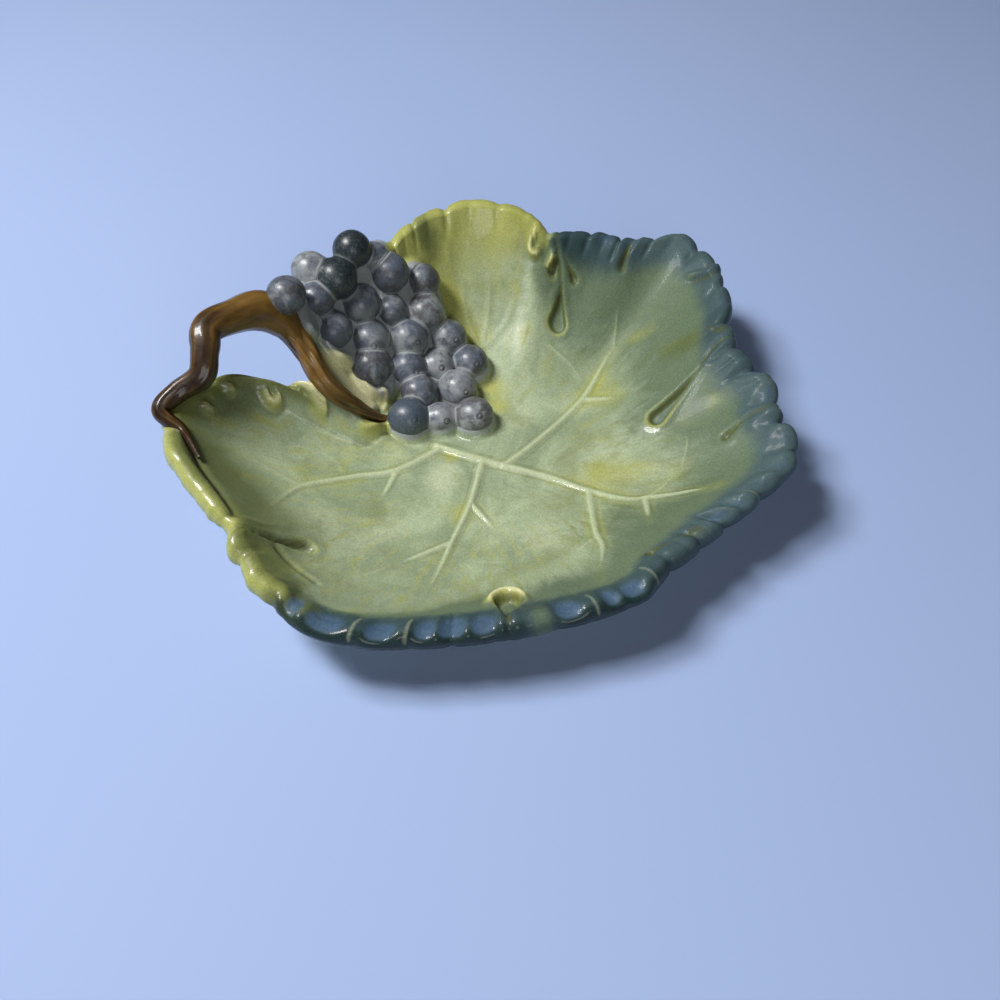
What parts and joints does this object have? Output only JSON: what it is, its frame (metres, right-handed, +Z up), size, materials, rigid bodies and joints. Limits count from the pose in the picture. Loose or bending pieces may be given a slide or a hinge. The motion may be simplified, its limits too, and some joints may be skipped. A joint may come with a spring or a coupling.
{
  "type": "leaf bowl",
  "caption": "Shallow glazed bowl shaped as a vine leaf, with a turned-up scalloped rim, raised veins, a moulded bunch of grapes and an arched twig handle.",
  "frame": {"origin": "middle of the outline, on the surface the foot ring stands on", "axes": "+X to the right of the picture, +Y away from its viewer, +Z up"},
  "size_m": [0.22, 0.1914, 0.0671],
  "materials": {
    "leaf_glaze": "glossy mottled sage and yellow-green glaze, blue-grey towards the rim",
    "base_glaze": "glossy pale green glaze",
    "twig_glaze": "glossy brown glaze with darker streaks",
    "grape_glaze": "satin slate-blue glaze",
    "dark_grape_glaze": "satin blue-black glaze"
  },
  "bodies": {
    "root": {"leaf_dish": "leaf_glaze", "foot_ring": "base_glaze", "twig_handle": "twig_glaze", "leaf_stalk": "twig_glaze", "grape_01": "dark_grape_glaze", "grape_02": "dark_grape_glaze", "grape_03": "grape_glaze", "grape_04": "grape_glaze", "grape_05": "grape_glaze", "grape_06": "grape_glaze", "grape_07": "grape_glaze", "grape_08": "grape_glaze", "grape_09": "grape_glaze", "grape_10": "grape_glaze", "grape_11": "grape_glaze", "grape_12": "grape_glaze", "grape_13": "grape_glaze", "grape_14": "grape_glaze", "grape_15": "grape_glaze", "grape_16": "grape_glaze", "grape_17": "grape_glaze", "grape_18": "grape_glaze", "grape_19": "grape_glaze", "grape_20": "grape_glaze", "grape_21": "dark_grape_glaze", "grape_22": "grape_glaze", "grape_23": "grape_glaze", "grape_24": "grape_glaze"}
  },
  "joints": []
}
